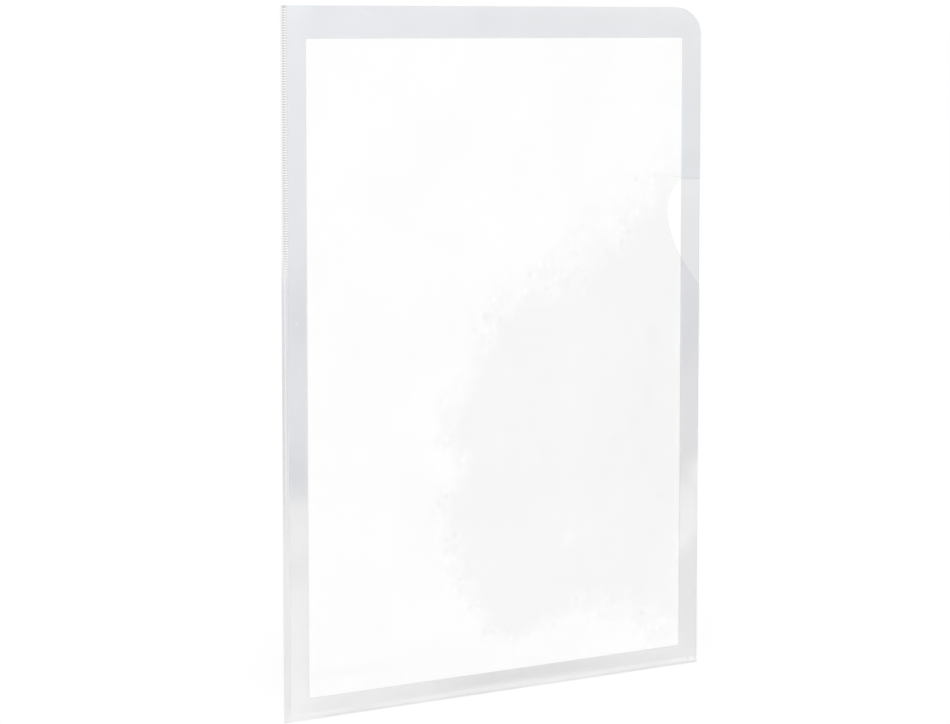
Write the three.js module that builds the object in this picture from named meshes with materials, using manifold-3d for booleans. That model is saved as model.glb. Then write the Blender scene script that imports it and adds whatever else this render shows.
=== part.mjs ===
// A clear plastic document folder, open along the top and the right side, with one loose sheet in its pocket.
// Two film sheets are welded together along a ribbed side seam and a plain bottom seam.
// Millimetres. X runs across the folder, Z up it and Y through it, with the front film at minus Y.
// The origin is in the middle of the bottom edge.

import * as THREE from 'three';
import { mergeGeometries, mergeVertices } from 'three/addons/utils/BufferGeometryUtils.js';
import Module from 'manifold-3d';

// Films
const filmThickness = 0.2;
const cornerRadius = 12; // rounded top corner on the open side

// Loose sheet, standard A4
const sheetWidth = 210;
const sheetHeight = 297;
const sheetThickness = 0.1;
const sheetClearance = 0.15; // air between the sheet and each film
const sheetToSideSeam = 9.5;
const sheetToBottomSeam = 6.6;
const sheetToOpenSide = 11.2; // film past the sheet at the open side
const sheetToTop = 14.3; // film past the sheet at the open top

// Seams, where both films are pressed into one
const seamThickness = 0.4;
const sideSeamWidth = 3.3;
const bottomSeamHeight = 3.1;
const seamShoulder = 0.35; // slope from the films' faces down to the pressed seam

// Ribs across the side seam
const ribPitch = 1.12;
const ribLength = 1.75;
const ribWidth = 0.7;
const ribHeight = 0.2;
const ribDraft = 0.2; // each side of a rib leans in by this much
const ribSeat = 0.05; // depth that a rib is rooted in the seam
const lipWidth = 1.1; // plain edge outside the ribs
const ribEndMargin = 1; // plain seam past the last rib at each end

// Thumb notch in the front film's open edge
const notchFromTop = 82.7; // folder's top edge to the notch's straight upper side
const notchHeight = 52.5;
const notchDepth = 20.4;
const notchUpperRun = 12.3; // straight part of the upper side
const notchUpperDrop = 14; // upper side down to the deepest point

// Bend, the line from corner to corner about which the free half of the front film lifts
const bendGap = 0.3;

const arcSteps = 10;
const overcut = 5; // how far the cutting shapes reach past the film

// Sizes and places worked out from these
const folderWidth = sideSeamWidth + sheetToSideSeam + sheetWidth + sheetToOpenSide; // 234
const folderHeight = bottomSeamHeight + sheetToBottomSeam + sheetHeight + sheetToTop; // 321
const left = -folderWidth / 2;
const right = folderWidth / 2;
const pocketLeft = left + sideSeamWidth;
const pocketBottom = bottomSeamHeight;
const innerFace = sheetThickness / 2 + sheetClearance;
const outerFace = innerFace + filmThickness;

const filmMaterial = () => new THREE.MeshStandardMaterial({
  color: 0xe3e6ea, roughness: 0.12, metalness: 0, transparent: true, opacity: 0.35,
});
const seamMaterial = () => new THREE.MeshStandardMaterial({
  color: 0xdadde0, roughness: 0.2, metalness: 0, transparent: true, opacity: 0.5,
});
const paperMaterial = () => new THREE.MeshStandardMaterial({ color: 0xfcfcfb, roughness: 0.9, metalness: 0 });

const wasm = await Module();
wasm.setup();

function toSolid(geometry) {
  const bare = geometry.clone();
  bare.deleteAttribute('normal');
  bare.deleteAttribute('uv');
  const merged = mergeVertices(bare);
  return new wasm.Manifold(new wasm.Mesh({
    numProp: 3,
    vertProperties: new Float32Array(merged.attributes.position.array),
    triVerts: new Uint32Array(merged.index.array),
  }));
}

function toGeometry(solid) {
  const { vertProperties, triVerts } = solid.getMesh();
  const geometry = new THREE.BufferGeometry();
  geometry.setAttribute('position', new THREE.BufferAttribute(vertProperties, 3));
  geometry.setIndex(new THREE.BufferAttribute(triVerts, 1));
  geometry.computeVertexNormals();
  return geometry;
}

function piece(name, geometry, material) {
  const mesh = new THREE.Mesh(geometry, material);
  mesh.name = name;
  return mesh;
}

// Pulls a shape drawn in X and Z through the folder, from yFront to yBack.
function plate(shape, yFront, yBack) {
  const geometry = new THREE.ExtrudeGeometry(shape, {
    depth: yBack - yFront, bevelEnabled: false, curveSegments: arcSteps,
  });
  geometry.rotateX(Math.PI / 2);
  geometry.translate(0, yBack, 0);
  return geometry;
}

// Outline of one film inside its seams, with the thumb notch if it is the front one.
function filmOutline(notched) {
  const shape = new THREE.Shape();
  shape.moveTo(pocketLeft, pocketBottom);
  shape.lineTo(right, pocketBottom);
  if (notched) {
    const top = folderHeight - notchFromTop;
    const bottom = top - notchHeight;
    const deepest = top - notchUpperDrop;
    const upperCorner = right - notchUpperRun;
    const inner = right - notchDepth;
    const sweep = deepest - bottom;
    shape.lineTo(right, bottom);
    shape.bezierCurveTo(right - notchDepth * 0.5, bottom + sweep * 0.3, inner, bottom + sweep * 0.64, inner, deepest);
    shape.bezierCurveTo(inner, deepest + notchUpperDrop * 0.6, upperCorner - 1, top, upperCorner, top);
    shape.lineTo(right, top);
  }
  shape.lineTo(right, folderHeight - cornerRadius);
  shape.absarc(right - cornerRadius, folderHeight - cornerRadius, cornerRadius, 0, Math.PI / 2, false);
  shape.lineTo(pocketLeft, folderHeight);
  shape.closePath();
  return shape;
}

// Everything on one side of the bend line: side 1 is the free corner's half, side -1 the welded one.
function bendHalf(side) {
  const start = new THREE.Vector2(pocketLeft, folderHeight);
  const end = new THREE.Vector2(right, pocketBottom);
  const along = end.clone().sub(start).normalize();
  const across = new THREE.Vector2(-along.y, along.x).multiplyScalar(side);
  const reach = folderWidth + folderHeight;
  const near = bendGap / 2;
  const corner = (from, alongBy, acrossBy) => from.clone()
    .addScaledVector(along, alongBy)
    .addScaledVector(across, acrossBy);
  const corners = [
    corner(start, -reach, near),
    corner(end, reach, near),
    corner(end, reach, reach),
    corner(start, -reach, reach),
  ];
  const shape = new THREE.Shape(side > 0 ? corners : corners.reverse());
  return toSolid(plate(shape, -outerFace - overcut, overcut));
}

// A seam's section: pressed flat, with a shoulder up to the films' faces on its pocket side.
function seamSection(width) {
  const half = seamThickness / 2;
  const shape = new THREE.Shape();
  shape.moveTo(0, -half);
  shape.lineTo(width - seamShoulder, -half);
  shape.lineTo(width, -outerFace);
  shape.lineTo(width, outerFace);
  shape.lineTo(width - seamShoulder, half);
  shape.lineTo(0, half);
  shape.closePath();
  return shape;
}

// One rib, a short bar that narrows towards its outer face.
function rib(z) {
  const bar = new THREE.BoxGeometry(ribLength, ribHeight + ribSeat, ribWidth);
  const position = bar.attributes.position;
  for (let i = 0; i < position.count; i += 1) {
    if (position.getY(i) < 0) {
      position.setX(i, position.getX(i) - Math.sign(position.getX(i)) * ribDraft);
      position.setZ(i, position.getZ(i) - Math.sign(position.getZ(i)) * ribDraft);
    }
  }
  bar.translate(left + lipWidth + ribLength / 2, -seamThickness / 2 - (ribHeight - ribSeat) / 2, z);
  return bar;
}

function sideSeam() {
  const strip = new THREE.ExtrudeGeometry(seamSection(sideSeamWidth), { depth: folderHeight, bevelEnabled: false });
  strip.translate(left, 0, 0);
  const ribCount = Math.floor((folderHeight - 2 * ribEndMargin - ribWidth) / ribPitch) + 1;
  const firstRib = (folderHeight - (ribCount - 1) * ribPitch) / 2;
  const bars = [];
  for (let i = 0; i < ribCount; i += 1) {
    bars.push(rib(firstRib + i * ribPitch));
  }
  return toGeometry(toSolid(strip).add(toSolid(mergeGeometries(bars))));
}

function bottomSeam() {
  const strip = new THREE.ExtrudeGeometry(seamSection(bottomSeamHeight), {
    depth: right - pocketLeft, bevelEnabled: false,
  });
  // The section's width turns up to Z and its length along X.
  const turn = new THREE.Matrix4().makeBasis(
    new THREE.Vector3(0, 0, 1),
    new THREE.Vector3(0, 1, 0),
    new THREE.Vector3(-1, 0, 0),
  );
  strip.applyMatrix4(turn);
  strip.translate(right, 0, 0);
  return strip;
}

function looseSheet() {
  const sheet = new THREE.BoxGeometry(sheetWidth, sheetThickness, sheetHeight);
  sheet.translate(
    pocketLeft + sheetToSideSeam + sheetWidth / 2,
    0,
    pocketBottom + sheetToBottomSeam + sheetHeight / 2,
  );
  return sheet;
}

const frontFilm = toSolid(plate(filmOutline(true), -outerFace, -innerFace));
const backFilm = plate(filmOutline(false), innerFace, outerFace);

const folder = new THREE.Group();
folder.add(
  piece('back_film', backFilm, filmMaterial()),
  piece('front_film', toGeometry(frontFilm.intersect(bendHalf(-1))), filmMaterial()),
  piece('front_film_free_corner', toGeometry(frontFilm.intersect(bendHalf(1))), filmMaterial()),
  piece('side_seam', sideSeam(), seamMaterial()),
  piece('bottom_seam', bottomSeam(), seamMaterial()),
  piece('paper_sheet', looseSheet(), paperMaterial()),
);

export default folder;
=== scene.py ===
import math

import bpy
import numpy as np
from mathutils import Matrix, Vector


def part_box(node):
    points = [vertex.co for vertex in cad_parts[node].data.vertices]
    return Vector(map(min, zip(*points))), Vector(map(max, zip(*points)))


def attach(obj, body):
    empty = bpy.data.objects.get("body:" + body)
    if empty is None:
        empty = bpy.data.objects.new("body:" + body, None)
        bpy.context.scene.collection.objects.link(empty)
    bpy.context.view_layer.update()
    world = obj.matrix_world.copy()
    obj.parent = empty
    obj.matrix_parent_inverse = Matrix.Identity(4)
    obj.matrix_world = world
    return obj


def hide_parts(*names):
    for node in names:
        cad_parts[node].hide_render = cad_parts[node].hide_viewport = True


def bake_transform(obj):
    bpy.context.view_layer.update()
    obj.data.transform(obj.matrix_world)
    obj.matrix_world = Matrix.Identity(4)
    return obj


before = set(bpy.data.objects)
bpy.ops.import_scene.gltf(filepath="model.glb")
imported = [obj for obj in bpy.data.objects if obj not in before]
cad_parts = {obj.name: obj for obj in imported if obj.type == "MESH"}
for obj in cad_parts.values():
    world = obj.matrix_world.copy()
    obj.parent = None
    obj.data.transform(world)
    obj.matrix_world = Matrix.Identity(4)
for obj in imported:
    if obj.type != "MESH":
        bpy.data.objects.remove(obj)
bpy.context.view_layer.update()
print("frame loaded with", len(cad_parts), "nodes")

mm = 0.001
sharpFrom = math.radians(50)  # edges that turn by more than this stay sharp
filmLow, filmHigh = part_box("back_film")
seamLow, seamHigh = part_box("side_seam")
bottomLow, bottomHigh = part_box("bottom_seam")
sheetLow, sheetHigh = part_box("paper_sheet")


def smoothstep(t):
    t = np.clip(t, 0, 1)
    return t * t * (3 - 2 * t)


# Joins a face grid and a back grid of points into one closed shell, with a rim of quads between the borders.
# Rows run up, columns run to the right as seen from the front, and the face lies at minus Y. Rims gives the
# slots of the lower, right, upper and left rim. A shade is one array, or a pair where face and back differ.
def shellPiece(name, face, back, materials, slotOf=None, rims=(0, 0, 0, 0), shades=None):
    rows, columns = face.shape[:2]
    count = rows * columns
    grid = np.arange(count).reshape(rows, columns)
    quads = np.stack([grid[:-1, :-1], grid[:-1, 1:], grid[1:, 1:], grid[1:, :-1]], -1).reshape(-1, 4)
    border = np.concatenate([grid[0, :-1], grid[:-1, -1], grid[-1, :0:-1], grid[:0:-1, 0]])
    onward = np.roll(border, -1)
    rim = np.stack([border, border + count, onward + count, onward], -1)
    points = np.concatenate([face.reshape(-1, 3), back.reshape(-1, 3)])
    faces = np.concatenate([quads, quads[:, ::-1] + count, rim])
    mesh = bpy.data.meshes.new(name)
    mesh.from_pydata(points.tolist(), [], faces.tolist())
    for material in materials:
        mesh.materials.append(material)
    flat = np.zeros(len(quads), int) if slotOf is None else slotOf.reshape(-1)
    rimSlots = np.repeat(rims, [columns - 1, rows - 1, columns - 1, rows - 1])
    mesh.polygons.foreach_set("material_index", np.concatenate([flat, flat, rimSlots]).astype(np.int32))
    for label, values in (shades or {}).items():
        faceShade, backShade = values if isinstance(values, tuple) else (values, values)
        both = np.concatenate([faceShade.reshape(-1), backShade.reshape(-1)]).astype(np.float32)
        if faceShade.ndim == 3:
            mesh.attributes.new(label, "FLOAT_VECTOR", "POINT").data.foreach_set("vector", both)
        else:
            mesh.attributes.new(label, "FLOAT", "POINT").data.foreach_set("value", both)
    mesh.polygons.foreach_set("use_smooth", np.ones(len(faces), bool))
    mesh.update()
    mesh.set_sharp_from_angle(angle=sharpFrom)
    piece = bpy.data.objects.new(name, mesh)
    bpy.context.scene.collection.objects.link(piece)
    return piece


def newTree(name):
    material = bpy.data.materials.new(name)
    material.use_nodes = True
    tree = material.node_tree
    tree.nodes.clear()
    return material, tree


def add(tree, kind, inputs=None, **settings):
    made = tree.nodes.new(kind)
    for key, value in settings.items():
        setattr(made, key, value)
    for key, value in (inputs or {}).items():
        if isinstance(value, bpy.types.NodeSocket):
            tree.links.new(value, made.inputs[key])
        else:
            made.inputs[key].default_value = value
    return made


def showSurface(tree, shader):
    output = add(tree, "ShaderNodeOutputMaterial")
    tree.links.new(shader, output.inputs["Surface"])


def maths(tree, operation, a, b=0.0, clamp=False):
    return add(tree, "ShaderNodeMath", {0: a, 1: b}, operation=operation, use_clamp=clamp).outputs[0]


def times(tree, a, b):
    return maths(tree, "MULTIPLY", a, b)


def plus(tree, a, b):
    return maths(tree, "ADD", a, b)


def minus(tree, a, b):
    return maths(tree, "SUBTRACT", a, b)


def ranged(tree, value, low, high, toLow, toHigh, smooth=False):
    made = add(tree, "ShaderNodeMapRange", {
        "Value": value, "From Min": low, "From Max": high, "To Min": toLow, "To Max": toHigh,
    })
    if smooth:
        made.interpolation_type = "SMOOTHSTEP"
    return made.outputs["Result"]


# A band between two places, with its sides this soft
def band(tree, value, low, high, soft):
    return times(tree, ranged(tree, value, low - soft, low + soft, 0.0, 1.0, smooth=True),
                 ranged(tree, value, high - soft, high + soft, 1.0, 0.0, smooth=True))


def noise(tree, vector, scale, detail, roughness=0.5, distortion=0.0):
    return add(tree, "ShaderNodeTexNoise", {
        "Vector": vector, "Scale": scale, "Detail": detail, "Roughness": roughness, "Distortion": distortion,
    }).outputs["Fac"]


# A noise stretched between two values. Nearly all of it lies between 0.3 and 0.7.
def varied(tree, value, low, high):
    return ranged(tree, value, 0.3, 0.7, low, high)


def cells(tree, vector, scale):
    return add(tree, "ShaderNodeTexVoronoi", {"Vector": vector, "Scale": scale, "Randomness": 1.0}).outputs


def painted(tree, label, port="Fac"):
    return add(tree, "ShaderNodeAttribute", attribute_name=label).outputs[port]


def onObject(tree):
    return add(tree, "ShaderNodeTexCoord").outputs["Object"]


def splitUp(tree, vector):
    return add(tree, "ShaderNodeSeparateXYZ", {0: vector}).outputs


def bumped(tree, height, strength, distance):
    made = add(tree, "ShaderNodeBump", {"Height": height, "Strength": strength, "Distance": distance})
    return made.outputs[0]


def tinted(tree, colour, factor):
    return add(tree, "ShaderNodeVectorMath", {0: colour, 1: factor}, operation="MULTIPLY").outputs[0]


def mixed(tree, factor, a, b, kind="VECTOR"):
    made = add(tree, "ShaderNodeMix", data_type=kind)
    for key, value in (("Factor", factor), ("A", a), ("B", b)):
        socket = next(port for port in made.inputs if port.enabled and port.name == key)
        if isinstance(value, bpy.types.NodeSocket):
            tree.links.new(value, socket)
        else:
            socket.default_value = value
    return next(port for port in made.outputs if port.enabled)


def grey(tree, value):
    return add(tree, "ShaderNodeCombineXYZ", {0: value, 1: value, 2: value}).outputs[0]


# What all clear film and weld has in common
clearPlastic = dict(
    ior=1.49,
    bothFaces=1.92,  # what a film's two faces mirror, over what one does
    mostMirrored=0.4,  # limp film is never flat enough to mirror more than this at a low angle
    lampPass=0.995,
)


# What film lets through, mirrors and scatters, joined into one shader. Both of a film's faces mirror, but all
# of it is put on the face that the ray meets first. Lamp light goes on through it to the sheet almost whole,
# since what the film throws back at the sheet is thrown out again.
def filmShader(tree, through, roughness, haze, bump, share=clearPlastic["bothFaces"], milk=(1, 1, 1, 1)):
    outside = minus(tree, 1.0, add(tree, "ShaderNodeNewGeometry").outputs["Backfacing"])
    gloss = add(tree, "ShaderNodeBsdfAnisotropic", {"Roughness": roughness, "Normal": bump})
    clear = add(tree, "ShaderNodeBsdfTransparent", {"Color": through})
    scatter = add(tree, "ShaderNodeBsdfDiffuse", {"Color": milk, "Normal": bump})
    body = add(tree, "ShaderNodeMixShader", {0: haze, 1: clear.outputs[0], 2: scatter.outputs[0]})
    fresnel = add(tree, "ShaderNodeFresnel", {"IOR": clearPlastic["ior"]})
    mirrored = times(tree, fresnel.outputs[0], share)
    mirrored = times(tree, maths(tree, "MINIMUM", mirrored, clearPlastic["mostMirrored"]), outside)
    seen = add(tree, "ShaderNodeMixShader", {0: mirrored, 1: body.outputs[0], 2: gloss.outputs[0]})
    path = add(tree, "ShaderNodeLightPath").outputs
    lighting = maths(tree, "MAXIMUM", path["Is Shadow Ray"], path["Is Diffuse Ray"])
    passing = add(tree, "ShaderNodeBsdfTransparent", {"Color": (*[clearPlastic["lampPass"]] * 3, 1)})
    made = add(tree, "ShaderNodeMixShader", {0: lighting, 1: seen.outputs[0], 2: passing.outputs[0]})
    return made.outputs[0]


# Seen from the left of the folder and a little below its top edge
camera = dict(place=(-0.770, -1.136, 0.312), azimuth=-33.64, elevation=5.56, lens=112.32, sensor=36,
              shiftY=-0.05, nearest=0.05, farthest=200)


def makeCamera(c):
    data = bpy.data.cameras.new("camera")
    data.sensor_width = c["sensor"]
    data.lens = c["lens"]
    data.shift_y = c["shiftY"]
    data.clip_start = c["nearest"]
    data.clip_end = c["farthest"]
    made = bpy.data.objects.new("camera", data)
    made.location = c["place"]
    made.rotation_euler = (math.radians(90 - c["elevation"]), 0, math.radians(c["azimuth"]))
    bpy.context.scene.collection.objects.link(made)
    bpy.context.scene.camera = made


makeCamera(camera)
print("camera placed")


# What the two films share
film = dict(
    thickness=0.2 * mm,
    innerFace=0.2 * mm,
    cornerAcross=16 * mm, cornerDown=13 * mm,  # the round corner is a little wider than high
    cutBand=0.4 * mm,
    notchFromTop=82.7 * mm, notchHeight=52.5 * mm, notchDepth=20.4 * mm,
    notchUpperRun=12.3 * mm, notchUpperDrop=14 * mm,
    # handles of the notch's lower and upper curve, as shares of its depth and of its height below and above
    # the deepest point, and a length along its upper side
    lowerHandle=(0.5, 0.3), deepHandle=0.64, upperHandle=0.6, sideHandle=1 * mm,
    columns=132,
    # rows that end below the notch, on its lower curve, upper curve and upper side, above it, at the corner
    rowsBelow=92, rowsLower=40, rowsUpper=22, rowsSide=12, rowsAbove=30, rowsCorner=24,
    rowsPlain=130,  # rows up to the corner where there is no notch
    # how much higher those rows start at the seam than they end at the open side
    liftLower=-20 * mm, liftUpper=-2 * mm, liftSide=7 * mm, liftAbove=20 * mm, liftCorner=-5 * mm,
    lastTurn=math.radians(88.5),  # place on the corner of the row below the top one
    seamHold=22 * mm,  # from a seam to where the film is free to bow
    leastBow=0.02 * mm,
    pocketTint=(0.824, 0.824, 0.827),  # what a film lets through, seen from the pocket
    topLift=0.06, topBand=(0.55 * mm, 0.45 * mm),  # the top edge is cut cleaner, so it shows less
    haze=0.004, roughness=(0.05, 0.11), roughScale=60.0,
    unevenScale=16.0, uneven=0.012,
    rippleScale=95.0, rippleHeight=0.1 * mm,
    # a few lighter specks in the bare strips
    speckScale=115.0, speckSize=(0.05, 0.11), speckGain=0.05, speckPatches=33.0, speckShare=(0.60, 0.66),
    # over the sheet the film lies unevenly, so its gloss is broken up
    glossOnSheet=0.15, roughOnSheet=0.22, sheetBorder=0.4 * mm,
    liftFade=(1.5 * mm, 5 * mm),  # over this much lift the film stops lying on the sheet
)

frontFilm = dict(
    side=-1, notched=True, bow=0.30 * mm,
    # low swells: height, waves per metre along X and along Z, and phase
    swells=[
        (0.10 * mm, 4.2, 2.6, 0.4), (0.07 * mm, -3.1, 6.4, 1.9), (0.05 * mm, 8.3, 3.7, 4.1),
        (0.03 * mm, 2.4, 12.5, 0.8), (0.02 * mm, 15.2, -5.3, 2.7),
    ],
    # what it lets through, seen from outside, and how much of that is left along its cut edges
    outerTint=(0.999, 0.999, 0.999), cutTint=(0.96, 0.96, 0.965),
    # painted light and shade: faint lighter or darker patches, centre X and Z and radii in millimetres, and
    # strength
    paintedLightPatches=[
        # in the cloud and beside it
        (-34, 113, 7, 8, 0.012), (-46, 96, 15, 27, -0.017), (-48, 38, 26, 13, 0.012),
        (38.8, 69.5, 3.2, 3.0, 0.032), (48, 72, 9, 2.5, 0.012), (95.8, 24, 4, 3, 0.020),
        (58.5, 36.4, 2.6, 2.6, 0.018), (55.7, 105.8, 2.8, 2.4, 0.013), (18, 110, 3, 2.6, 0.018),
        (0.4, 119.5, 3.4, 3, 0.018), (87.4, 164, 2.8, 5, -0.026), (85.9, 133.7, 2.6, 5.5, -0.023),
        (94.5, 85, 2.4, 2.6, -0.030), (65.7, 114.3, 2.2, 2.2, -0.026), (77.2, 122.7, 2, 2.2, -0.028),
        (-80, 20, 24, 2.2, -0.024), (-8, 74, 26, 48, 0.006), (84, 26, 46, 26, 0.005),
        (88, 150, 26, 60, -0.012),
    ],
    # painted shade: a darker cloud painted over the sheet, standing in for a dimmer reflection there: X, Z
    # and how soft the edge is, in millimetres
    cloud=[
        (114, 250, 16), (102, 242, 18), (66, 218, 22), (38, 198, 20), (6, 187, 16), (-8, 176, 15),
        (-12, 155, 13), (-28, 137, 11), (-31, 122, 9), (-20, 108, 9), (-33, 91, 13), (-29, 69, 13),
        (-18, 47, 12), (-7, 31, 9), (6, 24, 7), (15, 25, 7), (26, 31, 9), (42, 37, 11), (62, 33, 15),
        (82, 24, 18), (114, 6, 22),
    ],
    farthestReach=3,  # beyond this many softnesses from the cloud's edge nothing changes
    # painted shade: how much darker the cloud is painted
    shadeCloudLoss=0.061,  # light lost in the cloud
    wanderScale=72.0, wander=0.8,  # the cloud's edge wanders by this many softnesses
    crumbScale=230.0, crumbSize=(0.20, 0.38), crumbStrength=0.7,  # light and dark specks along the edge
)

backFilm = dict(
    side=1, notched=False, bow=0.10 * mm,
    swells=[
        (0.04 * mm, 3.3, -4.6, 2.2), (0.03 * mm, 6.8, 5.1, 0.3), (0.012 * mm, -13.4, 9.7, 3.6),
    ],
    outerTint=(0.982, 0.982, 0.984), cutTint=(0.90, 0.90, 0.91),
    # painted light and shade: lighter and darker patches, centre X and Z and radii in millimetres, and
    # strength
    paintedLightPatches=[
        # along the bottom
        (0, 6, 220, 9, 0.065), (-64, 6, 34, 9, 0.10), (76, 6, 18, 9, 0.05), (20, 6, 50, 7, -0.024),
        (-40, 6, 10, 8, 0.022), (-7, 6, 9, 8, -0.018), (-106, 9, 9, 8, 0.018),
        # up the closed side
        (-110, 24, 16, 26, 0.112), (-110, 54, 12, 12, 0.04), (-110, 83, 10, 8, 0.035),
        (-110, 16, 12, 7, 0.017), (-110, 184, 10, 16, -0.042), (-110, 114, 10, 9, -0.048),
        (-110, 69, 10, 6, -0.022), (-110, 205, 10, 60, -0.013), (-109, 319, 7, 6, 0.04),
        (-110, 300, 10, 40, 0.018),
        # up the open side
        (112, 73, 10, 13, 0.065), (111, 36, 12, 24, -0.066), (111, 95, 8, 8, -0.035),
        (111, 161, 8, 18, -0.042), (111, 233, 8, 6, 0.03), (111, 247, 8, 5, -0.022),
        (116, 7, 6, 6, -0.02), (117.5, 96, 4.5, 6.5, 0.10), (105, 96, 6, 6, -0.055),
        (106, 62, 6, 5, 0.055), (116.5, 59, 3, 6, -0.03), (111, 25, 10, 14, 0.015),
        (111, 260, 8, 14, 0.010),
        # along the top
        (24, 314, 100, 9, -0.036), (32, 314, 18, 8, 0.014), (-75, 314, 30, 9, 0.012),
        (108, 318, 12, 6, 0.02),
    ],
    # painted highlight: it is painted lighter just above the middle of the bottom weld
    weldHighlight=0.10, highlightAlong=(-20 * mm, 55 * mm), highlightSoft=18 * mm, highlightAbove=(0.4 * mm, 2.3 * mm),
)


def straight(a, b, count):
    return a + (b - a) * np.linspace(0, 1, count, endpoint=False)[:, None]


# A cubic curve: its four points weighted by the powers of t and 1 - t
def cubic(a, b, c, d, count):
    t = np.linspace(0, 1, count, endpoint=False)[:, None]
    return (1 - t) ** 3 * a + 3 * (1 - t) ** 2 * t * b + 3 * (1 - t) * t ** 2 * c + t ** 3 * d


def at(x, z):
    return np.array([x, z])


# The open side's outline up to the corner, with the notch in it, in runs. Beside each run is the height at
# the seam from which the first of its rows starts.
def notchRuns(f, right, arcStart):
    upper = filmHigh.z - f["notchFromTop"]
    lower = upper - f["notchHeight"]
    deepest = upper - f["notchUpperDrop"]
    inner = right - f["notchDepth"]
    corner = right - f["notchUpperRun"]
    sweep = deepest - lower
    lowHandle = at(right - f["notchDepth"] * f["lowerHandle"][0], lower + sweep * f["lowerHandle"][1])
    deepHandle = at(inner, lower + sweep * f["deepHandle"])
    upHandle = at(inner, deepest + f["notchUpperDrop"] * f["upperHandle"])
    sideHandle = at(corner - f["sideHandle"], upper)
    lowCurve = cubic(at(right, lower), lowHandle, deepHandle, at(inner, deepest), f["rowsLower"])
    upCurve = cubic(at(inner, deepest), upHandle, sideHandle, at(corner, upper), f["rowsUpper"])
    return [
        (straight(at(right, filmLow.z), at(right, lower), f["rowsBelow"]), filmLow.z),
        (lowCurve, lower + f["liftLower"]),
        (upCurve, deepest + f["liftUpper"]),
        (straight(at(corner, upper), at(right, upper), f["rowsSide"]), upper + f["liftSide"]),
        (straight(at(right, upper), arcStart, f["rowsAbove"]), upper + f["liftAbove"]),
    ]


# The open side's outline from bottom to top, and beside each of its points the height at the seam from which
# a row of the film runs to it. Rows fan out above and below the notch, so they never cross.
def openSide(f, notched):
    right, top, across, down = filmHigh.x, filmHigh.z, f["cornerAcross"], f["cornerDown"]
    arcStart = at(right, top - down)
    if notched:
        runs = notchRuns(f, right, arcStart)
    else:
        runs = [(straight(at(right, filmLow.z), arcStart, f["rowsPlain"]), filmLow.z)]
    turn = np.linspace(0, math.pi / 2, f["rowsCorner"], endpoint=False)
    turn = np.append(turn, f["lastTurn"])
    arc = np.stack([right - across + across * np.cos(turn), top - down + down * np.sin(turn)], -1)
    runs.append((arc, arcStart[1] + f["liftCorner"]))
    outline = np.concatenate([points for points, _ in runs] + [[[right - across, top]]])
    starts = [start for _, start in runs] + [top - 2 * f["cutBand"]]
    heights = [np.linspace(a, b, len(points), endpoint=False)
               for (points, _), a, b in zip(runs, starts[:-1], starts[1:])]
    heights = np.concatenate(heights + [[top]])
    heights[-2] = top - f["cutBand"]
    return outline, heights


# A film is a grid whose rows run straight from the seam to the open side, ending in a narrow band along the
# cut edge. Slot 0 is the film and slot 1 the band.
def filmGrid(f, notched):
    outline, heights = openSide(f, notched)
    along = np.gradient(outline, axis=0)
    along /= np.linalg.norm(along, axis=1)[:, None]
    inward = np.stack([-along[:, 1], along[:, 0]], -1)
    bandStart = outline + inward * f["cutBand"]
    bandStart[-1] = outline[-1] - (f["cutBand"], 0)
    share = np.linspace(0, 1, f["columns"])[None, :, None]
    start = np.stack([np.full(len(heights), filmLow.x), heights], -1)
    inside = start[:, None] + (bandStart - start)[:, None] * share
    flat = np.concatenate([inside, outline[:, None]], 1)
    slots = np.zeros((flat.shape[0] - 1, flat.shape[1] - 1), int)
    slots[:, -1] = 1
    slots[-1, :] = 1
    return flat, slots


# How far a film stands out: a bow plus low swells, both faded to nothing where the seams hold it
def standOff(f, own, flat):
    x, z = flat[..., 0], flat[..., 1]
    hold = smoothstep((x - filmLow.x) / f["seamHold"]) * smoothstep((z - filmLow.z) / f["seamHold"])
    swell = sum(height * np.sin(2 * math.pi * (u * x + v * z) + phase)
                for height, u, v, phase in own["swells"])
    return hold * np.maximum(own["bow"] + swell, f["leastBow"])


# Each patch is a bell: its strength, times the power of e to minus the squared distance over the radii
def patchSum(flat, paintedLightPatches):
    p = np.array(paintedLightPatches)
    p[:, :4] *= mm
    off = (flat[..., None, :] - p[:, :2]) / p[:, 2:4]
    return (p[:, 4] * np.exp(-(off ** 2).sum(-1))).sum(-1)


# How far inside an outline each point lies, over the softness there: the distance to the nearest of its
# sides, counted positive where a line to the right crosses the sides an odd number of times.
def insideReach(flat, outline, farthest):
    a = np.array(outline) * mm
    b = np.roll(a, -1, axis=0)
    p = flat.reshape(-1, 1, 2)
    side = b[:, :2] - a[:, :2]
    share = np.clip(((p - a[:, :2]) * side).sum(-1) / (side ** 2).sum(-1), 0, 1)
    gaps = np.linalg.norm(a[:, :2] + share[..., None] * side - p, axis=-1)
    nearest = gaps.argmin(1)[:, None]
    gap = np.take_along_axis(gaps, nearest, 1)[:, 0]
    along = np.take_along_axis(share, nearest, 1)[:, 0]
    soft = a[nearest[:, 0], 2] * (1 - along) + b[nearest[:, 0], 2] * along
    straddles = (a[:, 1] > p[..., 1]) != (b[:, 1] > p[..., 1])
    crossing = a[:, 0] + (p[..., 1] - a[:, 1]) / side[:, 1] * side[:, 0]
    inside = (straddles & (p[..., 0] < crossing)).sum(1) % 2 == 1
    reach = np.where(inside, gap, -gap) / soft
    return np.clip(reach, -farthest, farthest).reshape(flat.shape[:-1])


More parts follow.
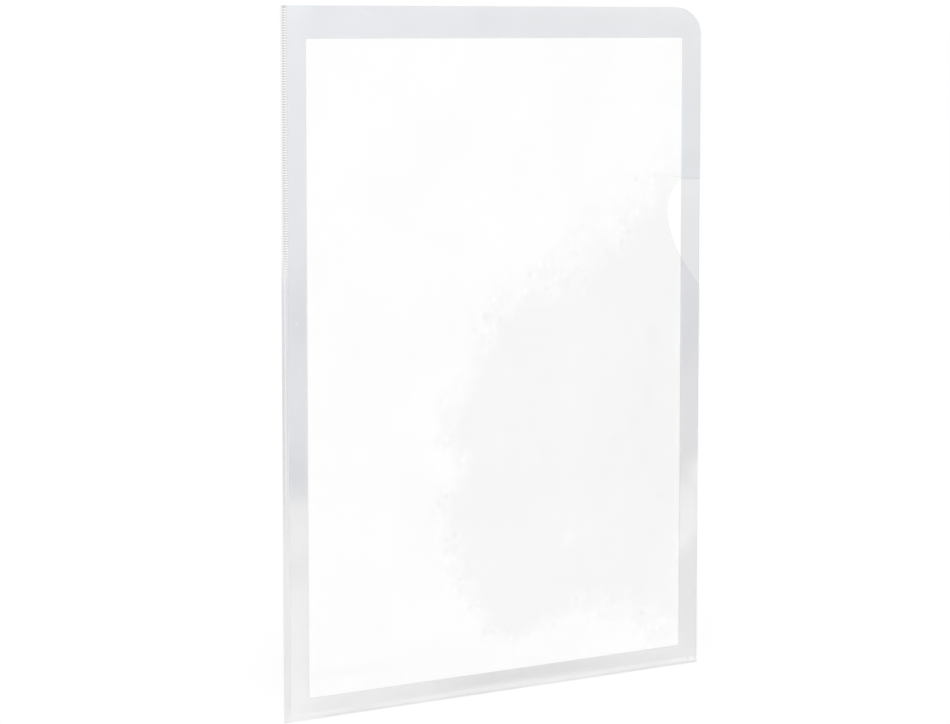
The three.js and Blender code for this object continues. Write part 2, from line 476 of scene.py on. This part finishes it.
# A film is its flat grid set off from the sheet by the stand-off, once for each face. Its rim is welded below
# and on the left, and cut on the right and above.
def filmPiece(name, f, own, materials):
    flat, slots = filmGrid(f, own["notched"])
    off = standOff(f, own, flat)
    near, far = f["innerFace"] + off, f["innerFace"] + off + f["thickness"]
    inFront = own["side"] < 0
    depths = (-far, -near) if inFront else (near, far)
    face, back = (np.stack([flat[..., 0], depth, flat[..., 1]], -1) for depth in depths)
    # 1 on the face towards the pocket and 0 on the outer one
    toPocket = (0 * off, 0 * off + 1) if inFront else (0 * off + 1, 0 * off)
    shades = {"flat": np.stack([flat[..., 0], 0 * off, flat[..., 1]], -1), "pocketSide": toPocket,
              "paintedLightLevel": 1 + patchSum(flat, own["paintedLightPatches"])}
    # where the painted shade cloud lies
    if "cloud" in own:
        shades["shadeCloudReach"] = insideReach(flat, own["cloud"], own["farthestReach"])
    return shellPiece(name, face, back, materials, slots, (2, 1, 1, 2), shades)


# 1 where the film lies on the sheet and 0 past the sheet's border. A lifted corner lies on it no more, so how
# far the film has moved from its place at rest counts too.
def lyingOnSheet(tree, place, split, f):
    reachX = maths(tree, "ABSOLUTE", minus(tree, split["X"], (sheetLow.x + sheetHigh.x) / 2))
    reachZ = maths(tree, "ABSOLUTE", minus(tree, split["Z"], (sheetLow.z + sheetHigh.z) / 2))
    past = maths(tree, "MAXIMUM", minus(tree, reachX, (sheetHigh.x - sheetLow.x) / 2),
                 minus(tree, reachZ, (sheetHigh.z - sheetLow.z) / 2))
    within = ranged(tree, past, -f["sheetBorder"], f["sheetBorder"], 1.0, 0.0)
    moved = add(tree, "ShaderNodeVectorMath", {0: onObject(tree), 1: place}, operation="DISTANCE")
    return times(tree, within, ranged(tree, moved.outputs["Value"], *f["liftFade"], 1.0, 0.0))


# 1 in the painted shade cloud and 0 outside it. Its edge wanders, and small lighter and darker specks are
# painted along it.
def shadeCloudMask(tree, place, own):
    wander = varied(tree, noise(tree, place, own["wanderScale"], 8.0, 0.78), -own["wander"], own["wander"])
    reach = plus(tree, painted(tree, "shadeCloudReach"), wander)
    mask = ranged(tree, reach, -1.0, 1.0, 0.0, 1.0, smooth=True)
    border = times(tree, times(tree, mask, minus(tree, 1.0, mask)), 4.0)  # 1 on the edge itself
    crumbs = cells(tree, place, own["crumbScale"])
    roundness = ranged(tree, crumbs["Distance"], *own["crumbSize"], 1.0, 0.0)
    drawn = splitUp(tree, crumbs["Color"])[0]
    sign = ranged(tree, drawn, 0.0, 1.0, -own["crumbStrength"], own["crumbStrength"])
    return plus(tree, mask, times(tree, times(tree, border, roundness), sign))


def speckled(tree, place, onSheet, f):
    away = cells(tree, place, f["speckScale"])["Distance"]
    dot = ranged(tree, away, *f["speckSize"], f["speckGain"], 0.0)
    kept = ranged(tree, noise(tree, place, f["speckPatches"], 1.0), *f["speckShare"], 0.0, 1.0)
    return times(tree, dot, times(tree, kept, minus(tree, 1.0, onSheet)))


def makeFilm(name, f, own, edge=False):
    material, tree = newTree(name)
    hasShadeCloud = "cloud" in own
    left = np.array(own["cutTint"] if edge else (1, 1, 1))
    outer, pocket = own["outerTint"] * left, f["pocketTint"] * left
    place = painted(tree, "flat", "Vector")
    split = splitUp(tree, place)
    onSheet = lyingOnSheet(tree, place, split, f)
    # level is what the film lets through, over what it would if it were even
    slow = noise(tree, place, f["unevenScale"], 4.0, 0.55)
    level = varied(tree, slow, 1 - f["uneven"], 1 + f["uneven"])
    # painted light and shade from the patches
    level = times(tree, level, painted(tree, "paintedLightLevel"))
    topFrom, topTo = (filmHigh.z - down for down in f["topBand"])
    level = times(tree, level, ranged(tree, split["Z"], topFrom, topTo, 1.0, 1 + f["topLift"]))
    # painted highlight just above the middle of the bottom weld
    if "weldHighlight" in own and not edge:
        along = band(tree, split["X"], *own["highlightAlong"], own["highlightSoft"])
        highlightFrom, highlightTo = (filmLow.z + up for up in own["highlightAbove"])
        low = ranged(tree, split["Z"], highlightFrom, highlightTo, own["weldHighlight"], 0.0)
        level = plus(tree, level, times(tree, along, low))
    # painted shade: the film is painted darker in the cloud, where it lies on the sheet
    if hasShadeCloud:
        mask = times(tree, shadeCloudMask(tree, place, own), onSheet)
        level = times(tree, level, minus(tree, 1.0, times(tree, mask, own["shadeCloudLoss"])))
    level = plus(tree, level, speckled(tree, place, onSheet, f))
    # the front film's pattern is on its outer face, the back film's on the one towards the pocket
    pocketSide = painted(tree, "pocketSide")
    patterned = minus(tree, 1.0, pocketSide) if hasShadeCloud else pocketSide
    level = plus(tree, times(tree, minus(tree, level, 1.0), patterned), 1.0)
    base = mixed(tree, pocketSide, outer, pocket)
    # only the face that a ray meets from outside dulls it
    geometry = add(tree, "ShaderNodeNewGeometry")
    through = mixed(tree, geometry.outputs["Backfacing"], tinted(tree, base, grey(tree, level)), (1, 1, 1))
    rough = noise(tree, place, f["roughScale"], 5.0, 0.6)
    roughness = ranged(tree, rough, 0.25, 0.75, *f["roughness"])
    roughness = plus(tree, roughness, times(tree, onSheet, f["roughOnSheet"]))
    full = clearPlastic["bothFaces"]
    share = ranged(tree, onSheet, 0.0, 1.0, full, full * f["glossOnSheet"])
    bump = bumped(tree, noise(tree, place, f["rippleScale"], 3.0), 0.25, f["rippleHeight"])
    showSurface(tree, filmShader(tree, through, roughness, f["haze"], bump, share))
    return material


# Where film and weld run into each other there is no surface, so the rim there has no gloss and no tint.
def makeWeldedRim(name, f):
    material, tree = newTree(name)
    fine = noise(tree, onObject(tree), f["roughScale"], 3.0)
    haze = varied(tree, fine, 0.0, 2 * f["haze"])
    bump = bumped(tree, fine, 0.25, f["rippleHeight"])
    showSurface(tree, filmShader(tree, (1, 1, 1, 1), f["roughness"][1], haze, bump, share=0.0))
    return material


weldedRim = makeWeldedRim("welded_rim", film)

frontMaterials = [makeFilm("front_clear_film", film, frontFilm),
                  makeFilm("front_cut_edge", film, frontFilm, edge=True), weldedRim]
frontPiece = filmPiece("front_film_sheet", film, frontFilm, frontMaterials)
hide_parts("front_film", "front_film_free_corner")
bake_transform(frontPiece)

backMaterials = [makeFilm("back_clear_film", film, backFilm),
                 makeFilm("back_cut_edge", film, backFilm, edge=True), weldedRim]
backPiece = filmPiece("back_film_sheet", film, backFilm, backMaterials)
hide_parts("back_film")
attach(backPiece, "folder")
print("films made:", len(frontPiece.data.polygons), "and", len(backPiece.data.polygons), "faces")


# Ribbed weld down the closed side
sideSeam = dict(
    half=0.2 * mm, face=0.4 * mm, shoulder=0.35 * mm,
    # distance in from the outer edge of each column
    columns=np.array([0, 0.15, 0.6, 1.08, 1.3, 1.75, 2.2, 2.62, 2.86, 2.97, 3.3]) * mm,
    ribStart=1.1 * mm, ribEnd=2.85 * mm, ribSide=0.22 * mm,
    pitch=1.12 * mm, ribWidth=0.7 * mm, ribHeight=0.2 * mm, endMargin=1 * mm,
    # rows of each rib from its middle, and the width of its two flanks, as shares of its width
    ribRows=np.array([-0.62, -0.5, -0.28, 0.0, 0.28, 0.5]), flank=0.22,
    endRow=0.3 * mm,
    # between these heights the ribs give way to one low ridge, this share of a rib high
    fadeHigh=0.212, fadeLow=0.192, fadedHeight=0.10,
    tint=(0.80, 0.80, 0.805), roughness=(0.112, 0.208), fineScale=420.0, fineHeight=0.05 * mm,
    # places across the seam, in millimetres from its outer edge
    lip=1.1, outerHalf=(1.15, 1.95), innerHalf=(1.95, 3.05), halfSoft=0.08,
    highlightLine=(1.25, 2.1), lineSoft=0.25, crease=(2.35, 2.95), creaseSoft=0.1,
    # crisp ribs: painted shade in the gaps between them, and haze with a painted highlight on them, in their
    # outer and inner half
    outerGapShade=0.12, innerGapShade=0.10, outerRibHazeAndHighlight=0.25, innerRibHazeAndHighlight=0.85,
    # pressed ribs: one painted highlight line, with painted shade along a crease inside it
    lineHighlight=0.80, lineMilk=0.85, creaseShade=0.045,
    # the lip along the edge mirrors more there, and lets more through beside the crisp ribs
    lipShare=4.0, lipGain=0.10, lipLoss=0.012, lipSoft=(0.3, 0.2),
    runOut=(0.075, 0.125),  # heights between which line, crease and lip run out
    lowLift=0.03, lowLiftTop=(0.055, 0.10),  # below these heights the seam is a little lighter
    streak=(1.0, 1.0, 0.1), wearScale=140.0, wear=0.015,
)


# The seam is a strip. Its face rises by a rib's section across it, times a pulse that repeats every pitch up
# it, and a shoulder leads up to the films.
def seamPiece(s, material):
    height = seamHigh.z - seamLow.z
    ribs = int((height - 2 * s["endMargin"] - s["ribWidth"]) / s["pitch"]) + 1
    first = (height - (ribs - 1) * s["pitch"]) / 2
    rows = (first + np.arange(ribs) * s["pitch"])[:, None] + s["ribRows"] * s["ribWidth"]
    rows = np.concatenate([[0.0, s["endRow"]], rows.ravel(), [height - s["endRow"], height]])
    middle = first + np.round((rows - first) / s["pitch"]) * s["pitch"]
    away = np.abs(rows - middle)
    inRange = (rows > first - s["ribWidth"]) & (rows < height - first + s["ribWidth"])
    pulse = smoothstep((s["ribWidth"] * 0.5 - away) / (s["ribWidth"] * s["flank"])) * inRange
    wide = s["columns"]
    across = smoothstep((wide - s["ribStart"]) / s["ribSide"])
    across = across * smoothstep((s["ribEnd"] + s["ribSide"] - wide) / s["ribSide"])
    sharp = smoothstep((rows - s["fadeLow"]) / (s["fadeHigh"] - s["fadeLow"]))
    upright = sharp * pulse + (1 - sharp) * s["fadedHeight"]
    relief = upright[:, None] * across[None]
    shoulder = smoothstep((wide - (wide[-1] - s["shoulder"])) / s["shoulder"]) * (s["face"] - s["half"])
    depth = s["half"] + np.maximum(relief * s["ribHeight"], shoulder[None])
    x = np.broadcast_to(seamLow.x + wide, depth.shape)
    z = np.broadcast_to((seamLow.z + rows)[:, None], depth.shape)
    face = np.stack([x, -depth, z], -1)
    back = np.stack([x, np.broadcast_to(s["half"] + shoulder, depth.shape), z], -1)
    shades = {"ribShade": np.broadcast_to(pulse[:, None], depth.shape),
              "zone": np.broadcast_to(wide / mm, depth.shape),
              "sharpness": np.broadcast_to(sharp[:, None], depth.shape)}
    return shellPiece("side_seam_weld", face, back, [material, weldedRim], rims=(0, 1, 0, 0), shades=shades)


# Painted shade and highlights of the crisp ribs. Each rib is a little cloudy in its outer half and painted
# white in its inner half, haze and a painted highlight, with painted shade in the gaps between the ribs.
def crispRibs(tree, zone, sharp, s):
    rib = painted(tree, "ribShade")
    outer = times(tree, band(tree, zone, *s["outerHalf"], s["halfSoft"]), sharp)
    inner = times(tree, band(tree, zone, *s["innerHalf"], s["halfSoft"]), sharp)
    dark = plus(tree, times(tree, outer, s["outerGapShade"]), times(tree, inner, s["innerGapShade"]))
    white = plus(tree, times(tree, outer, s["outerRibHazeAndHighlight"]), times(tree, inner, s["innerRibHazeAndHighlight"]))
    return times(tree, minus(tree, 1.0, rib), dark), times(tree, rib, white)


def makeSeam(name, s):
    material, tree = newTree(name)
    place = onObject(tree)
    height = splitUp(tree, place)["Z"]
    zone = painted(tree, "zone")
    sharp = painted(tree, "sharpness")
    dark, white = crispRibs(tree, zone, sharp, s)
    # further down the pressed ribs make one painted highlight line, with painted shade in the crease. It runs
    # out towards the bottom, with crease and lip.
    pressed = minus(tree, 1.0, sharp)
    high = ranged(tree, height, *s["runOut"], 0.0, 1.0, smooth=True)
    line = times(tree, times(tree, band(tree, zone, *s["highlightLine"], s["lineSoft"]), pressed), high)
    crease = times(tree, band(tree, zone, *s["crease"], s["creaseSoft"]), pressed)
    before, past = s["lipSoft"]
    lip = ranged(tree, zone, s["lip"] - before, s["lip"] + past, 1.0, 0.0, smooth=True)
    share = ranged(tree, times(tree, lip, pressed), 0.0, 1.0, clearPlastic["bothFaces"], s["lipShare"])
    dull = times(tree, times(tree, pressed, lip), s["lipLoss"])
    dull = plus(tree, dull, times(tree, crease, s["creaseShade"]))
    level = minus(tree, 1.0, plus(tree, dark, times(tree, dull, high)))
    edgeward = ranged(tree, zone, 0.0, s["lip"] + past, s["lipGain"], 0.0)
    level = plus(tree, level, times(tree, sharp, edgeward))
    level = plus(tree, level, ranged(tree, height, *s["lowLiftTop"], s["lowLift"], 0.0, smooth=True))
    # the weld was drawn out along the seam, so its unevenness is streaky
    streak = add(tree, "ShaderNodeMapping", {"Vector": place, "Scale": s["streak"]}).outputs[0]
    wear = noise(tree, streak, s["wearScale"], 4.0, 0.6)
    level = times(tree, level, varied(tree, wear, 1 - s["wear"], 1 + s["wear"]))
    through = tinted(tree, np.sqrt(s["tint"]), grey(tree, level))
    haze = maths(tree, "ADD", white, times(tree, line, s["lineHighlight"]), clamp=True)
    milk = grey(tree, ranged(tree, sharp, 0.0, 1.0, s["lineMilk"], 1.0))
    fine = noise(tree, streak, s["fineScale"], 3.0)
    roughness = varied(tree, fine, *s["roughness"])
    bump = bumped(tree, fine, 0.3, s["fineHeight"])
    showSurface(tree, filmShader(tree, through, roughness, haze, bump, share, milk))
    return material


seamObject = seamPiece(sideSeam, makeSeam("ribbed_weld", sideSeam))
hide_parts("side_seam")
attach(seamObject, "folder")
print("side seam made:", len(seamObject.data.polygons), "faces")


# Plain weld along the bottom
bottomSeam = dict(
    half=0.2 * mm, face=0.4 * mm, shoulder=0.35 * mm,
    # height above the bottom edge of each row
    rows=np.array([0, 0.18, 0.42, 0.7, 1.0, 1.5, 2.0, 2.4, 2.62, 2.75, 2.92, 3.1]) * mm,
    columns=240,
    grooveAt=0.42 * mm, grooveWidth=0.28 * mm, grooveDepth=0.05 * mm,
    bead=0.04 * mm, beadAt=1.55 * mm, beadWidth=0.6 * mm,
    # the bead's slow unevenness: waves per metre of the two waves that are multiplied, their height and share
    slowWaves=(21, 34), slowPhase=1.1, slowHeight=0.35, slowShare=0.6,
    tint=(0.910, 0.910, 0.910), roughness=(0.12, 0.1875),
    # places across the seam, as shares of its height. The groove is painted darker, a painted shade, and the
    # shoulder lighter, a painted highlight.
    grooveZone=(0.12, 0.36), grooveSoft=0.10, grooveShade=0.085,
    shoulderZone=(0.62, 0.86), shoulderHighlight=0.030,
    grooveStart=(-0.106, -0.09), startShare=0.3,  # along X, the groove is fainter at the closed side
    stretch=(1.0, 1.0, 6.0), cloudScale=60.0, cloudHeight=0.1 * mm, levels=(0.975, 1.02), haze=(0.04, 0.10),
    # burn marks at the open end of the weld: distance from that end, and half width
    marks=[(5.4 * mm, 0.6 * mm), (1.2 * mm, 0.8 * mm)], markLoss=0.16, markBand=(0.62, 0.80),
)


# The bottom seam is a strip with a shoulder up to the films, a low bead along its middle and a pressed groove
# below it, each a bump in the height above the bottom edge, and a slow unevenness along it.
def bottomPiece(s, material):
    up = s["rows"]
    x = np.linspace(bottomLow.x, bottomHigh.x, s["columns"])
    shoulder = smoothstep((up - (up[-1] - s["shoulder"])) / s["shoulder"]) * (s["face"] - s["half"])
    groove = -s["grooveDepth"] * np.exp(-((up - s["grooveAt"]) / s["grooveWidth"]) ** 2)
    bead = s["bead"] * np.exp(-((up - s["beadAt"]) / s["beadWidth"]) ** 2)
    first, second = (2 * math.pi * waves * x for waves in s["slowWaves"])
    slow = s["slowHeight"] * np.sin(first) * np.sin(second + s["slowPhase"])
    section = (s["half"] + shoulder + groove + bead)[:, None] + bead[:, None] * s["slowShare"] * slow[None]
    gridX = np.broadcast_to(x[None], section.shape)
    gridZ = np.broadcast_to((bottomLow.z + up)[:, None], section.shape)
    face = np.stack([gridX, -section, gridZ], -1)
    back = np.stack([gridX, section, gridZ], -1)
    zone = np.broadcast_to((up / up[-1])[:, None], section.shape)
    return shellPiece("bottom_seam_weld", face, back, [material, weldedRim], rims=(0, 0, 1, 1),
                      shades={"zone": zone})


def makeBottom(name, s):
    material, tree = newTree(name)
    place = onObject(tree)
    along = splitUp(tree, place)["X"]
    zone = painted(tree, "zone")
    groove = times(tree, band(tree, zone, *s["grooveZone"], s["grooveSoft"]),
                   ranged(tree, along, *s["grooveStart"], s["startShare"], 1.0, smooth=True))
    shoulder = ranged(tree, zone, *s["shoulderZone"], 0.0, 1.0, smooth=True)
    stretched = add(tree, "ShaderNodeMapping", {"Vector": place, "Scale": s["stretch"]}).outputs[0]
    cloud = noise(tree, stretched, s["cloudScale"], 5.0)
    # painted shade in the groove and a painted highlight on the shoulder
    level = minus(tree, 1.0, times(tree, groove, s["grooveShade"]))
    level = plus(tree, level, times(tree, shoulder, s["shoulderHighlight"]))
    level = times(tree, level, varied(tree, cloud, *s["levels"]))
    for fromEnd, width in s["marks"]:
        away = maths(tree, "ABSOLUTE", minus(tree, along, bottomHigh.x - fromEnd))
        mark = times(tree, ranged(tree, away, 0.0, width, s["markLoss"], 0.0, smooth=True),
                     ranged(tree, zone, *s["markBand"], 0.0, 1.0, smooth=True))
        level = minus(tree, level, mark)
    through = tinted(tree, np.sqrt(s["tint"]), grey(tree, level))
    haze = varied(tree, cloud, *s["haze"])
    roughness = varied(tree, cloud, *s["roughness"])
    bump = bumped(tree, cloud, 0.3, s["cloudHeight"])
    showSurface(tree, filmShader(tree, through, roughness, haze, bump))
    return material


bottomObject = bottomPiece(bottomSeam, makeBottom("plain_weld", bottomSeam))
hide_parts("bottom_seam")
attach(bottomObject, "folder")
print("bottom seam made:", len(bottomObject.data.polygons), "faces")


# Blank sheet in the pocket
sheet = dict(
    rim=0.2 * mm, rows=60, columns=44, crush=0.02 * mm,
    curl=0.03 * mm, curlX=(5.1, 0.7), curlZ=(3.4, 0.2),  # height, and waves per metre and phase each way
    # the edge colour paints the cut edge band darker, a painted shadow line round the sheet
    colour=(0.961, 0.961, 0.959), edge=(0.74, 0.74, 0.75),
    formationScale=240.0, formation=(0.992, 1.006),
    fibreScale=1900.0, fibreBend=1.2, fibreShare=0.5, fibreHeight=0.02 * mm,
    roughness=(0.82, 0.95), specular=0.25,
)


# The sheet is a flat grid with a low double wave in it. A narrow band round it thins towards the cut edge.
def sheetPiece(s, material):
    def steps(low, high, count):
        inner = np.linspace(low + 2 * s["rim"], high - 2 * s["rim"], count)
        return np.concatenate([[low, low + s["rim"]], inner, [high - s["rim"], high]])

    def wave(along, waves, phase):
        return np.sin(2 * math.pi * waves * along + phase)

    x = steps(sheetLow.x, sheetHigh.x, s["columns"])
    z = steps(sheetLow.z, sheetHigh.z, s["rows"])
    gridX, gridZ = np.meshgrid(x, z)
    middle = s["curl"] * wave(gridX, *s["curlX"]) * wave(gridZ, *s["curlZ"])
    half = np.full(gridX.shape, sheetHigh.y)
    half[[0, -1], :] -= s["crush"]
    half[:, [0, -1]] = sheetHigh.y - s["crush"]
    face = np.stack([gridX, middle - half, gridZ], -1)
    back = np.stack([gridX, middle + half, gridZ], -1)
    cut = np.zeros(gridX.shape)
    cut[[0, 1, -2, -1], :] = 1
    cut[:, [0, 1, -2, -1]] = 1
    return shellPiece("loose_sheet", face, back, [material], shades={"cutEdge": cut})


def makePaper(name, s):
    material, tree = newTree(name)
    place = onObject(tree)
    formation = noise(tree, place, s["formationScale"], 5.0, 0.65)
    fibres = noise(tree, place, s["fibreScale"], 2.0, distortion=s["fibreBend"])
    base = tinted(tree, s["colour"], grey(tree, varied(tree, formation, *s["formation"])))
    height = plus(tree, formation, times(tree, fibres, s["fibreShare"]))
    paper = add(tree, "ShaderNodeBsdfPrincipled", {
        # painted shadow line: the cut edge band takes the darker edge colour
        "Base Color": mixed(tree, painted(tree, "cutEdge"), base, s["edge"]),
        "Roughness": varied(tree, fibres, *s["roughness"]),
        "Specular IOR Level": s["specular"],
        "Normal": bumped(tree, height, 0.25, s["fibreHeight"]),
    })
    showSurface(tree, paper.outputs[0])
    return material


sheetObject = sheetPiece(sheet, makePaper("white_sheet", sheet))
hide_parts("paper_sheet")
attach(sheetObject, "sheet")
print("sheet made:", len(sheetObject.data.polygons), "faces")


# Pale floor, white surroundings, one soft lamp, and a card that only the gloss meets
studio = dict(
    floorSize=60.0, floorColour=(0.88, 0.88, 0.88, 1), floorLift=0.06, floorDrop=0.3 * mm,
    # metres from the folder over which the floor runs into the white surroundings, and how bright it is there
    fadeFrom=1.2, fadeTo=11.0, farGlow=0.95,
    ambient=0.99, key=0.45, keyAngle=60, keyAzimuth=-42, keyElevation=48, keyDistance=2,
    # the card's tones up its left and right part, each with its height in metres
    card=dict(
        y=-0.547, left=0.05, right=0.95, top=0.36, leftPart=0.22, rightPart=0.53, strength=1.4,
        leftTones=[
            (0.000, (0.00, 0.06, 0.26)), (0.060, (0.24, 0.34, 0.56)), (0.120, (0.24, 0.34, 0.56)),
            (0.155, (0.50, 0.62, 0.86)), (0.250, (0.76, 0.88, 1.12)), (0.330, (1.00, 1.16, 1.38)),
        ],
        rightTones=[
            (0.000, (0.26, 0.26, 0.36)), (0.045, (0.30, 0.30, 0.44)), (0.095, (0.02, 0.08, 0.26)),
            (0.200, (0.34, 0.48, 0.66)), (0.260, (0.66, 0.76, 0.94)), (0.330, (1.20, 1.24, 1.38)),
        ],
    ),
)


# 1 for every ray that should meet the plain white surroundings
def seenRay(tree):
    path = add(tree, "ShaderNodeLightPath").outputs
    seen = maths(tree, "MAXIMUM", path["Is Camera Ray"], path["Is Glossy Ray"])
    return maths(tree, "MAXIMUM", seen, path["Is Transmission Ray"])


def glowing(tree, colour, strength):
    return add(tree, "ShaderNodeEmission", {"Color": colour, "Strength": strength}).outputs[0]


def stagePlane(name, corners, material):
    mesh = bpy.data.meshes.new(name)
    mesh.from_pydata([tuple(c) for c in corners], [], [(0, 1, 2, 3)])
    mesh.materials.append(material)
    made = bpy.data.objects.new(name, mesh)
    bpy.context.scene.collection.objects.link(made)
    return made


def makeFloor(s):
    material, tree = newTree("studio_floor")
    white = (1, 1, 1, 1)
    seen = seenRay(tree)
    matt = add(tree, "ShaderNodeBsdfDiffuse", {"Color": s["floorColour"]})
    lift = glowing(tree, white, times(tree, seen, s["floorLift"]))
    near = add(tree, "ShaderNodeAddShader", {0: matt.outputs[0], 1: lift})
    far = glowing(tree, white, plus(tree, s["farGlow"], times(tree, seen, 1 - s["farGlow"])))
    away = add(tree, "ShaderNodeVectorMath", {0: onObject(tree)}, operation="LENGTH").outputs["Value"]
    fade = ranged(tree, away, s["fadeFrom"], s["fadeTo"], 0.0, 1.0, smooth=True)
    both = add(tree, "ShaderNodeMixShader", {0: fade, 1: near.outputs[0], 2: far})
    showSurface(tree, both.outputs[0])
    h, z = s["floorSize"] / 2, -s["floorDrop"]
    stagePlane("studio_floor", [(-h, -h, z), (h, -h, z), (h, h, z), (-h, h, z)], material)


# A graded card in front of the folder, which only the gloss of the film meets
def makeCard(card):
    material, tree = newTree("graded_card")
    split = splitUp(tree, onObject(tree))
    height = ranged(tree, split["Z"], 0.0, card["top"], 0.0, 1.0)

    def toneRamp(tones):
        ramp = add(tree, "ShaderNodeValToRGB", {0: height})
        ends = ramp.color_ramp.elements
        for end, (z, colour) in ((ends[0], tones[0]), (ends[1], tones[-1])):
            end.position, end.color = z / card["top"], (*np.divide(colour, card["strength"]), 1)
        for z, colour in tones[1:-1]:
            ends.new(z / card["top"]).color = (*np.divide(colour, card["strength"]), 1)
        return ramp.outputs["Color"]

    across = ranged(tree, split["X"], card["leftPart"], card["rightPart"], 0.0, 1.0)
    tone = mixed(tree, across, toneRamp(card["leftTones"]), toneRamp(card["rightTones"]), "RGBA")
    showSurface(tree, glowing(tree, tone, card["strength"]))
    left, right, y, top = card["left"], card["right"], card["y"], card["top"]
    made = stagePlane("graded_card", [(left, y, 0), (right, y, 0), (right, y, top), (left, y, top)], material)
    made.visible_camera = False
    made.visible_diffuse = False
    made.visible_transmission = False
    made.visible_shadow = False


def makeWorld(s):
    world = bpy.data.worlds.new("studio_world")
    bpy.context.scene.world = world
    world.use_nodes = True
    tree = world.node_tree
    tree.nodes.clear()
    strength = plus(tree, s["ambient"], times(tree, seenRay(tree), 1 - s["ambient"]))
    plain = add(tree, "ShaderNodeBackground", {"Color": (1, 1, 1, 1), "Strength": strength})
    output = add(tree, "ShaderNodeOutputWorld")
    tree.links.new(plain.outputs[0], output.inputs["Surface"])


def makeKey(s):
    lamp = bpy.data.lights.new("soft_key", "SUN")
    lamp.energy = s["key"]
    lamp.angle = math.radians(s["keyAngle"])
    made = bpy.data.objects.new("soft_key", lamp)
    a, e = math.radians(s["keyAzimuth"]), math.radians(s["keyElevation"])
    towards = Vector((math.sin(a) * math.cos(e), -math.cos(a) * math.cos(e), math.sin(e)))
    made.rotation_mode = "QUATERNION"
    made.rotation_quaternion = towards.to_track_quat("Z", "Y")
    made.location = towards * s["keyDistance"]
    bpy.context.scene.collection.objects.link(made)


makeFloor(studio)
makeCard(studio["card"])
makeWorld(studio)
makeKey(studio)
bpy.context.scene.view_settings.view_transform = "Standard"
print("studio lit")
